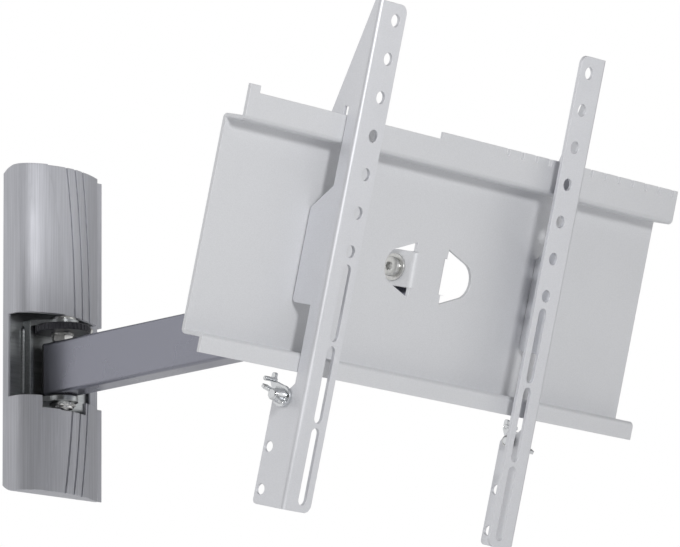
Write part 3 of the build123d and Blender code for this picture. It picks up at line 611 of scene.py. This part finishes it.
class Lathe:
    """Makes meshes of turned and hexagonal pieces around an axis, from sizes in millimetres."""

    columns: int = 48

    @classmethod
    def turn(cls, name: str, rings: list[Ring], axis: Axis) -> bpy.types.Object:
        """Make a closed surface through rings, with a flat end on each that is off the axis.

        Args:
            name: The piece's name.
            rings: Rings in order along the surface.
            axis: Where the piece lies.

        Returns:
            The new object, its mesh in the row frame.
        """
        rows = []
        for ring in rings:
            angles = [FULL_TURN * column / cls.columns for column in range(cls.columns)]
            rows.append([
                (ring.at(a) * math.cos(a), ring.at(a) * math.sin(a), ring.height) for a in angles
            ])
        return cls.grid(name, rows, axis)

    @classmethod
    def thread(cls, name: str, inner: float, outer: float, pitch: float, low: float, high: float,
               axis: Axis) -> bpy.types.Object:
        """Make a screw thread as one rippled sleeve.

        Args:
            name: The piece's name.
            inner: Root radius.
            outer: Crest radius.
            pitch: Distance from crest to crest.
            low: Start along the axis.
            high: End along the axis.
            axis: Where the thread lies.

        Returns:
            The new object, its mesh in the row frame.
        """
        count = max(THREAD_STEPS, round((high - low) / pitch * THREAD_STEPS))
        rows = []
        for step in range(count + 1):
            height = low + (high - low) * step / count
            from_end = min(step, count - step)
            fade = min(1.0, THREAD_FADE * from_end / THREAD_STEPS)
            row = []
            for column in range(cls.columns):
                share = column / cls.columns
                phase = (height / pitch - share) % 1.0
                crest = 1.0 - abs(2.0 * phase - 1.0)
                radius = inner + (outer - inner) * min(1.0, THREAD_FLAT * crest) * fade
                angle = FULL_TURN * share
                row.append((radius * math.cos(angle), radius * math.sin(angle), height))
            rows.append(row)
        return cls.grid(name, rows, axis)

    @classmethod
    def grid(
        cls, name: str, rows: list[list[tuple[float, float, float]]], axis: Axis
    ) -> bpy.types.Object:
        """Join rows of points round an axis into one object.

        Args:
            name: The object's name.
            rows: Points of each row, in millimetres about the axis.
            axis: Where the piece lies.

        Returns:
            The new object.
        """
        place = axis.matrix() @ Matrix.Scale(MM, 4)
        verts = [place @ Vector(point) for row in rows for point in row]
        faces = []
        for row in range(len(rows) - 1):
            for column in range(cls.columns):
                nxt = (column + 1) % cls.columns
                low = row * cls.columns
                high = low + cls.columns
                faces.append((low + column, low + nxt, high + nxt, high + column))
        for row, ends in ((0, rows[0]), (len(rows) - 1, rows[-1])):
            if math.hypot(ends[0][0], ends[0][1]) > 0:
                start = row * cls.columns
                loop = list(range(start, start + cls.columns))
                faces.append(tuple(reversed(loop)) if row == 0 else tuple(loop))
        mesh = bpy.data.meshes.new(name)
        mesh.from_pydata(verts, [], faces)
        mesh.update()
        mesh.shade_smooth()
        mesh.set_sharp_from_angle(angle=math.radians(SHARP_DEG))
        made = bpy.data.objects.new(name, mesh)
        bpy.context.scene.collection.objects.link(made)
        return made


@dataclass
class Workshop:
    """What every sub-assembly needs: the frame, the finishes and the softening of edges."""

    frame: dict
    palette: Palette
    edges: SoftEdges = field(default_factory=SoftEdges)

    def node(self, name: str) -> bpy.types.Object:
        """The CAD node of that name."""
        return self.frame["nodes"][name]

    def joint_axis(self, name: str) -> Axis:
        """Axis of a joint of the record, as a point and a direction."""
        joint = next(j for j in self.frame["joints"] if j["name"] == name)
        return Axis(Vector(joint["pos_m"]), Vector(joint["axis"]))

    def finish_node(self, name: str, slot: Slot, edges: SoftEdges | None = None) -> None:
        """Give a CAD node its finish and soft edges.

        Args:
            name: The node's name.
            slot: Its material slot.
            edges: Other soft edges than the usual ones.
        """
        piece = self.node(name)
        (edges or self.edges).add(piece)
        self.palette.dress(piece, slot)
        log.info("%s: CAD node in %s", name, slot.value)

    def add(self, piece: bpy.types.Object, body: str, slot: Slot, *stands_for: str) -> None:
        """Finish an own piece and let it ride on a body.

        Args:
            piece: The piece.
            body: The CAD body that it moves with.
            slot: Its material slot.
            stands_for: CAD nodes that it replaces.
        """
        self.palette.dress(piece, slot)
        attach(piece, body)
        if stands_for:
            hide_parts(*stands_for)
        log.info("%s: %s on %s", piece.name, slot.value, body)


@dataclass
class SocketBolt:
    """Round headed bolt with a hexagon socket and a threaded end, sizes in millimetres."""

    node: str
    body: str
    axis: Axis
    radius: float
    head_radius: float
    head_height: float
    socket: float
    socket_depth: float
    pitch: float
    thread: float

    def build(self, shop: Workshop) -> None:
        """Make the bolt in the place of its CAD node, head towards the axis's direction."""
        low, high = self.axis.span(shop.node(self.node))
        under = high - self.head_height
        thread_end = low + self.thread
        root = self.radius - THREAD_DEPTH * self.pitch
        core = root - CORE_GAP
        crown = CROWN_SHARE * self.head_height
        socket = self.socket / 2
        socket_floor = high - self.socket_depth
        rings = [
            Ring(0.0, low), Ring(root - TIP_CHAMFER, low), Ring(core, low + TIP_CHAMFER),
            Ring(core, thread_end), Ring(self.radius, thread_end + RUN_OUT), Ring(self.radius, under),
            Ring(self.head_radius - UNDER_EDGE, under), Ring(self.head_radius, under + UNDER_EDGE),
            *(Ring(self.head_radius - inset, high - drop - crown) for inset, drop in TOP_EDGE),
            Ring(self.head_radius * DOME_RADIUS_SHARE, high - DOME_DROP_SHARE * crown),
            Ring(socket + SOCKET_RIM, high), Ring(socket, high - SOCKET_CHAMFER, True),
            Ring(socket, socket_floor, True), Ring(0.0, socket_floor - SOCKET_POINT),
        ]
        bolt = Lathe.turn(f"{self.node}_turned", rings, self.axis)
        shop.add(bolt, self.body, Slot.BRIGHT_STEEL, self.node)
        sleeve = Lathe.thread(
            f"{self.node}_thread", root, self.radius, self.pitch, low + TIP_BARE, thread_end, self.axis
        )
        shop.add(sleeve, self.body, Slot.BRIGHT_STEEL)


@dataclass
class LockNut:
    """Hexagon lock nut with a round collar and a nylon insert, sizes in millimetres."""

    node: str
    body: str
    axis: Axis
    flats: float
    bore: float
    collar: float

    def build(self, shop: Workshop) -> None:
        """Make the nut in the place of its CAD node, its collar away from the axis's direction."""
        low, high = self.axis.span(shop.node(self.node))
        half = self.flats / 2
        step = low + self.collar
        collar = half * COLLAR_SHARE
        mouth_wide, mouth_up = NUT_MOUTH
        bore_wide, bore_down = BORE_CHAMFER
        rings = [
            Ring(self.bore + mouth_wide, low + mouth_up),
            *(Ring(collar + out, low + up) for out, up in NUT_COLLAR), Ring(collar, step),
            Ring(half * SHOULDER_SHARE, step + NUT_SLIVER), Ring(half, step + NUT_LOW_CHAMFER, True),
            Ring(half, high - NUT_HIGH_CHAMFER, True), Ring(half, high - NUT_SLIVER),
            Ring(half * FACE_SHARE, high), Ring(self.bore + bore_wide, high),
            Ring(self.bore, high - bore_down), Ring(self.bore, low + NUT_THREAD_START),
        ]
        nut = Lathe.turn(f"{self.node}_pressed", rings, self.axis)
        shop.add(nut, self.body, Slot.BRIGHT_STEEL, self.node)
        lining = [Ring(self.bore + out, low + up) for out, up in NUT_INSERT]
        insert = Lathe.turn(f"{self.node}_insert", lining, self.axis)
        shop.add(insert, self.body, Slot.BLACK_NYLON)


@dataclass
class WeldBead:
    """Row of weld ripples along a straight seam, sizes in millimetres."""

    name: str
    body: str
    start: Vector
    end: Vector
    width: float = 4.0
    height: float = 2.2
    ripple: float = 2.0
    columns: int = 12
    steps: int = 5
    swell_low: float = 0.86
    end_share: float = 0.35
    end_run: float = 4.0
    lag: float = 0.9

    def build(self, shop: Workshop) -> None:
        """Lay the bead from start to end, as a half-round with overlapping ripples."""
        run = self.end - self.start
        along = run.normalized()
        out = Vector((0, -1, 0))
        side = along.cross(out)
        length = run.length / MM
        count = round(length / self.ripple * self.steps)
        verts = []
        for step in range(count + 1):
            place = length * step / count
            phase = (place / self.ripple) % 1.0
            swell = self.swell_low + (1.0 - self.swell_low) * math.sqrt(phase)
            taper = min(1.0, self.end_share + min(place, length - place) / self.end_run)
            for column in range(self.columns + 1):
                angle = math.pi * column / self.columns
                lag = self.lag * math.sin(angle)
                across = self.width / 2 * math.cos(angle) * swell * taper
                up = self.height * math.sin(angle) * swell * taper
                centre = self.start + along * (place + lag) * MM
                verts.append(centre + side * across * MM + out * up * MM)
        faces = []
        stride = self.columns + 1
        for step in range(count):
            for column in range(self.columns):
                low = step * stride + column
                faces.append((low, low + 1, low + stride + 1, low + stride))
        mesh = bpy.data.meshes.new(self.name)
        mesh.from_pydata(verts, [], faces)
        mesh.shade_smooth()
        piece = bpy.data.objects.new(self.name, mesh)
        bpy.context.scene.collection.objects.link(piece)
        shop.add(piece, self.body, Slot.ZINC_PLATE)


@dataclass
class WallEnd:
    """Wall plate, moulded cover and the wall pivot."""

    body: str = "wall"
    bead_inset_mm: float = 4.0

    def build(self, shop: Workshop) -> None:
        """Dress the wall end and add its bolt, nut and welds."""
        cover_edges = SoftEdges(width_mm=0.35, sharper_than=30.0)
        shop.finish_node("wall_cover", Slot.COVER_PLASTIC, cover_edges)
        for name in ("wall_plate", "pivot_bracket"):
            shop.finish_node(name, Slot.ZINC_PLATE)
        shop.finish_node("bearing_ring", Slot.BLACK_STEEL, SoftEdges(width_mm=0.15))
        for name in ("ring_washer", "ring_nut", "ring_screw"):
            shop.finish_node(name, Slot.BRIGHT_STEEL, SoftEdges(width_mm=0.2))
        shop.finish_node("wall_glide", Slot.BLACK_NYLON)
        axis = shop.joint_axis("arm_swivel")
        SocketBolt(
            "wall_bolt", self.body, axis, radius=5.0, head_radius=9.0, head_height=2.6,
            socket=6.0, socket_depth=2.0, pitch=1.5, thread=5.5,
        ).build(shop)
        LockNut("wall_lock_nut", self.body, axis, flats=16.0, bore=5.0, collar=1.6).build(shop)
        low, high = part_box("pivot_bracket")
        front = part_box("wall_plate")[0].y
        inset = self.bead_inset_mm * MM
        for side, x in (("left", low.x), ("right", high.x)):
            WeldBead(
                f"pivot_weld_{side}", self.body, Vector((x, front, low.z + inset)),
                Vector((x, front, high.z - inset)),
            ).build(shop)


@dataclass
class SwivelArm:
    """Rectangular arm with its caps and bushes."""

    def build(self, shop: Workshop) -> None:
        """Dress the arm."""
        shop.finish_node("arm_tube", Slot.ARM_PAINT)
        for name in ("arm_cap_wall", "arm_cap_head", "arm_bush_wall", "arm_bush_head"):
            shop.finish_node(name, Slot.BLACK_NYLON, SoftEdges(width_mm=0.4))


@dataclass
class Head:
    """Yoke, vertical pivot and its glides."""

    body: str = "head"

    def build(self, shop: Workshop) -> None:
        """Dress the yoke and add its bolt and nut."""
        shop.finish_node("head_yoke", Slot.ARM_PAINT, SoftEdges(width_mm=0.5))
        for name in ("head_glide_top", "head_glide_bottom"):
            shop.finish_node(name, Slot.BLACK_NYLON)
        swivel = shop.joint_axis("head_swivel")
        axis = Axis(swivel.point, -swivel.towards)
        SocketBolt(
            "head_bolt", self.body, axis, radius=5.0, head_radius=9.0, head_height=4.0,
            socket=6.0, socket_depth=3.0, pitch=1.5, thread=10.0,
        ).build(shop)
        LockNut("head_lock_nut", self.body, axis, flats=16.0, bore=5.0, collar=2.0).build(shop)


@dataclass(frozen=True)
class SheetAxes:
    """The face panel's own axes: along it, up it and out of its front skin, from the skin's middle."""

    origin: Vector
    along: Vector
    up: Vector
    out: Vector

    @classmethod
    def of_tilt(cls, tilt: Axis, lean_deg: float, back_mm: float) -> "SheetAxes":
        """Find the axes from the tilt joint.

        Args:
            tilt: The tilt joint's axis.
            lean_deg: How far the panel's front looks down at rest.
            back_mm: Distance of the tilt axis behind the front skin.

        Returns:
            The panel's axes.
        """
        lean = math.radians(lean_deg)
        along = tilt.towards.normalized()
        level = along.cross(Vector((0, 0, 1)))
        out = level * math.cos(lean) - Vector((0, 0, math.sin(lean)))
        up = out.cross(along)
        return cls(tilt.point + out * back_mm * MM, along, up, out)

    def read(self, point: Vector) -> Vector:
        """Place of a point along the panel, up it and out of it, in millimetres."""
        offset = (point - self.origin) / MM
        return Vector((offset.dot(self.along), offset.dot(self.up), offset.dot(self.out)))

    def write(self, place: Vector) -> Vector:
        """Point of the row frame at a place on the panel."""
        offset = self.along * place.x + self.up * place.y + self.out * place.z
        return self.origin + offset * MM


@dataclass
class PressedPanel:
    """The face panel with the tight press-brake folds of the real one, sizes in millimetres."""

    sheet: float = 2.5
    drawn_fold: float = 3.5
    tight_fold: float = 0.8
    drawn_shelf: float = 70.5
    tight_shelf: float = 68.0
    rail_depth: float = 16.0
    notch_first: float = 37.4
    notch_pitch: float = 14.75
    notch_count: int = 13
    notch_drawn: float = 3.4
    notch_cut: float = 2.7
    notch_floor: float = 86.3
    near: float = 0.05

    def build(self, node: bpy.types.Object, axes: SheetAxes) -> bpy.types.Object:
        """Copy the CAD panel with its folds tightened.

        Args:
            node: The CAD panel.
            axes: The panel's axes.

        Returns:
            The new piece.
        """
        mesh = node.data.copy()
        for vertex in mesh.vertices:
            place = axes.read(vertex.co)
            vertex.co = axes.write(self._narrowed(self._tightened(place)))
        piece = bpy.data.objects.new("face_panel_pressed", mesh)
        bpy.context.scene.collection.objects.link(piece)
        return piece

    def _tightened(self, place: Vector) -> Vector:
        """Move a point of a wide fold onto the tight fold.

        Args:
            place: Place on the panel: along, up and out.

        Returns:
            The new place.
        """
        height = abs(place.y)
        side = math.copysign(1.0, place.y)
        flat = self.drawn_shelf - self.drawn_fold
        if height < flat - self.near:
            return place
        inner = (self.drawn_fold, flat)
        outer = (self.rail_depth - self.sheet - self.drawn_fold,
                 self.drawn_shelf + self.sheet + self.drawn_fold)
        tight_inner = (self.tight_fold, self.tight_shelf - self.tight_fold)
        tight_outer = (self.rail_depth - self.sheet - self.tight_fold,
                       self.tight_shelf + self.sheet + self.tight_fold)
        if place.z <= inner[0] + self.near:
            old, new = inner, tight_inner
        elif place.z >= outer[0] - self.near and height <= outer[1] + self.near:
            old, new = outer, tight_outer
        elif height <= outer[1] + self.near:
            return Vector((place.x, place.y + side * (self.tight_shelf - self.drawn_shelf), place.z))
        else:
            return place
        off = Vector((place.z - old[0], height - old[1]))
        thickness = self.sheet if off.length > self.drawn_fold + self.sheet / 2 else 0.0
        off = off.normalized() * (self.tight_fold + thickness)
        return Vector((place.x, side * (new[1] + off.y), new[0] + off.x))

    def _narrowed(self, place: Vector) -> Vector:
        """Bring the walls of a rail notch together.

        Args:
            place: Place on the panel: along, up and out.

        Returns:
            The new place.
        """
        index = round((place.x - self.notch_first) / self.notch_pitch)
        middle = self.notch_first + index * self.notch_pitch
        off = place.x - middle
        on_wall = abs(abs(off) - self.notch_drawn / 2) < self.near
        if place.y < self.notch_floor - self.near or not on_wall or not 0 <= index < self.notch_count:
            return place
        return Vector((middle + off * self.notch_cut / self.notch_drawn, place.y, place.z))


@dataclass
class Face:
    """Folded face panel and the tilt joint's fasteners."""

    body: str = "face"
    lean_deg: float = 15.0
    tilt_back_mm: float = 16.0

    def build(self, shop: Workshop) -> None:
        """Dress the panel and add the tilt bolt and its nut."""
        tilt = shop.joint_axis("face_tilt")
        axes = SheetAxes.of_tilt(tilt, self.lean_deg, self.tilt_back_mm)
        panel = PressedPanel().build(shop.node("face_panel"), axes)
        shop.edges.add(panel)
        shop.add(panel, self.body, Slot.SILVER_PAINT, "face_panel")
        for name in ("tilt_washer_left", "tilt_washer_right"):
            shop.finish_node(name, Slot.BRIGHT_STEEL, SoftEdges(width_mm=0.25))
        axis = Axis(tilt.point, -tilt.towards)
        SocketBolt(
            "tilt_bolt", self.body, axis, radius=4.0, head_radius=6.5, head_height=4.5,
            socket=5.0, socket_depth=3.0, pitch=1.25, thread=10.5,
        ).build(shop)
        LockNut("tilt_lock_nut", self.body, axis, flats=13.0, bore=4.0, collar=2.0).build(shop)


@dataclass
class Bracket:
    """One television bracket with its latch."""

    side: str

    def build(self, shop: Workshop) -> None:
        """Dress the bracket and its latch."""
        body = f"latch_{self.side}"
        shop.finish_node(f"bracket_{self.side}", Slot.BRACKET_PAINT)
        for name in ("latch_hook", "latch_screw", "latch_knob", "thumb_pin"):
            shop.finish_node(f"{name}_{self.side}", Slot.LATCH_CHROME, SoftEdges(width_mm=0.25))
        turn = shop.joint_axis(f"latch_turn_{self.side}")
        outward = 1.0 if self.side == "right" else -1.0
        axis = Axis(turn.point, -turn.towards * outward)
        LockNut(f"latch_nut_{self.side}", body, axis, flats=8.0, bore=2.5, collar=1.4).build(shop)


@dataclass(frozen=True)
class SkyPatch:
    """A round patch of the studio that is darker or brighter than the rest."""

    towards: tuple[float, float, float]
    inner_deg: float
    outer_deg: float
    level: float


@dataclass
class Studio:
    """Pale studio: white background, lit screens above and behind, and a dark room in front."""

    plain: float = 0.04
    screens: tuple[SkyPatch, ...] = (
        SkyPatch((0.0, 0.0, 1.0), 35.0, 70.0, 0.6),
        SkyPatch((-0.3, 0.95, 0.05), 60.0, 85.0, 0.96),
    )
    sheen: float = 0.3
    patches: tuple[SkyPatch, ...] = (
        SkyPatch((-0.667, -0.719, -0.196), 35.0, 55.0, 0.03),
        SkyPatch((-0.75, 0.63, 0.196), 30.0, 50.0, 0.8),
        SkyPatch((0.0, 1.0, 0.0), 35.0, 50.0, 0.8),
        SkyPatch((0.667, 0.719, -0.1), 25.0, 40.0, 0.75),
        SkyPatch((0.726, 0.23, -0.652), 25.0, 38.0, 0.03),
        SkyPatch((0.762, -0.054, 0.646), 14.0, 28.0, 0.15),
        SkyPatch((0.96, -0.12, 0.2), 10.0, 24.0, 0.25),
        SkyPatch((0.75, -0.64, 0.03), 22.0, 34.0, 1.0),
    )
    floor_z: float = -1.2
    floor_half: float = 6.0
    floor_shade: float = 0.9
    floor_roughness: float = 0.9
    key_place: tuple[float, float, float] = (-0.72, -2.16, 0.24)
    key_power: float = 20.0
    key_size: float = 0.36
    aim: tuple[float, float, float] = (0.0, -0.3, 0.0)

    def build(self) -> None:
        """Make the world, the floor and the key light."""
        self._world()
        self._floor()
        self._key()

    def _world(self) -> None:
        """World: white background, a patterned surround for gloss and two lit screens for the rest."""
        world = bpy.data.worlds.new("Studio")
        bpy.context.scene.world = world
        world.use_nodes = True
        world.node_tree.nodes.clear()
        wiring = Wiring(world.node_tree)
        direction = wiring.node("ShaderNodeTexCoord").outputs["Generated"]
        level = self._layered(wiring, direction, self.sheen, self.patches)
        fill = self._layered(wiring, direction, self.plain, self.screens)
        path = wiring.node("ShaderNodeLightPath")
        glossy = path.outputs["Is Glossy Ray"]
        camera = path.outputs["Is Camera Ray"]
        above = wiring.maths("SUBTRACT", level, fill)
        lit = wiring.maths("MULTIPLY_ADD", above, glossy, fill)
        missing = wiring.maths("SUBTRACT", 1.0, lit)
        strength = wiring.maths("MULTIPLY_ADD", missing, camera, lit)
        background = wiring.node("ShaderNodeBackground")
        background.inputs["Color"].default_value = (1.0, 1.0, 1.0, 1.0)
        wiring.put(background.inputs["Strength"], strength)
        output = wiring.node("ShaderNodeOutputWorld")
        wiring.put(output.inputs["Surface"], background.outputs[0])

    @staticmethod
    def _layered(
        wiring: Wiring, direction: bpy.types.NodeSocket, base: float, patches: tuple[SkyPatch, ...]
    ) -> bpy.types.NodeSocket:
        """Lay patches over a base level.

        Args:
            wiring: The world's wiring.
            direction: Socket with the direction looked in.
            base: Level away from the patches.
            patches: The patches, the last on top.

        Returns:
            Socket with the level in each direction.
        """
        level = base
        for patch in patches:
            near = wiring.dot(direction, tuple(Vector(patch.towards).normalized()))
            rim, core = (math.cos(math.radians(a)) for a in (patch.outer_deg, patch.inner_deg))
            share = wiring.ramp(near, rim, core)
            kept = wiring.maths("SUBTRACT", 1.0, share)
            lit = wiring.maths("MULTIPLY", share, patch.level)
            level = wiring.maths("MULTIPLY_ADD", kept, level, lit)
        return level

    def _floor(self) -> None:
        """Pale floor far below the object."""
        signs = ((-1, -1), (1, -1), (1, 1), (-1, 1))
        corners = [(self.floor_half * x, self.floor_half * y, self.floor_z) for x, y in signs]
        mesh = bpy.data.meshes.new("floor")
        mesh.from_pydata(corners, [], [(0, 1, 2, 3)])
        floor = bpy.data.objects.new("floor", mesh)
        bpy.context.scene.collection.objects.link(floor)
        material = bpy.data.materials.new("pale_floor")
        material.use_nodes = True
        shader = material.node_tree.nodes["Principled BSDF"]
        shader.inputs["Base Color"].default_value = (*(self.floor_shade,) * 3, 1.0)
        shader.inputs["Roughness"].default_value = self.floor_roughness
        mesh.materials.append(material)

    def _key(self) -> None:
        """One soft light in front of the panel, left of it and a little above."""
        data = bpy.data.lights.new("key", "AREA")
        data.shape = "DISK"
        data.size = self.key_size
        data.energy = self.key_power
        lamp = bpy.data.objects.new("key", data)
        lamp.location = self.key_place
        aim = Vector(self.aim) - Vector(self.key_place)
        lamp.rotation_euler = aim.to_track_quat("-Z", "Y").to_euler()
        lamp.visible_camera = False
        bpy.context.scene.collection.objects.link(lamp)


@dataclass
class PhotoCamera:
    """Camera at the photograph's viewpoint, solved on the panel, rails, brackets, arm and cover."""

    eye: tuple[float, float, float] = (-2.82332, -3.34242, -0.82757)
    bearing_deg: float = 42.8374
    below_deg: float = 11.2455
    roll_deg: float = -0.397
    lens_mm: float = 338.313
    sensor_mm: float = 36.0

    def build(self) -> None:
        """Make the camera and set it as the scene's."""
        bearing = math.radians(self.bearing_deg)
        below = math.radians(self.below_deg)
        back = Vector((
            -math.sin(bearing) * math.cos(below), -math.cos(bearing) * math.cos(below),
            -math.sin(below),
        ))
        right = Vector((0, 0, 1)).cross(back).normalized()
        up = back.cross(right)
        roll = math.radians(self.roll_deg)
        turned_right = right * math.cos(roll) + up * math.sin(roll)
        turned_up = up * math.cos(roll) - right * math.sin(roll)
        matrix = Matrix((turned_right, turned_up, back)).transposed().to_4x4()
        matrix.translation = Vector(self.eye)
        data = bpy.data.cameras.new("photo")
        data.lens = self.lens_mm
        data.sensor_width = self.sensor_mm
        camera = bpy.data.objects.new("photo", data)
        camera.matrix_world = matrix
        bpy.context.scene.collection.objects.link(camera)
        bpy.context.scene.camera = camera


def main() -> None:
    """Build the looks of every sub-assembly, the studio and the camera."""
    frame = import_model()
    shop = Workshop(frame, Palette())
    assemblies = (WallEnd(), SwivelArm(), Head(), Face(), Bracket("left"), Bracket("right"))
    for assembly in assemblies:
        assembly.build(shop)
    Studio().build()
    PhotoCamera().build()
    bpy.context.scene.view_settings.view_transform = "Standard"
    bpy.context.view_layer.update()


if __name__ == "__main__":
    main()
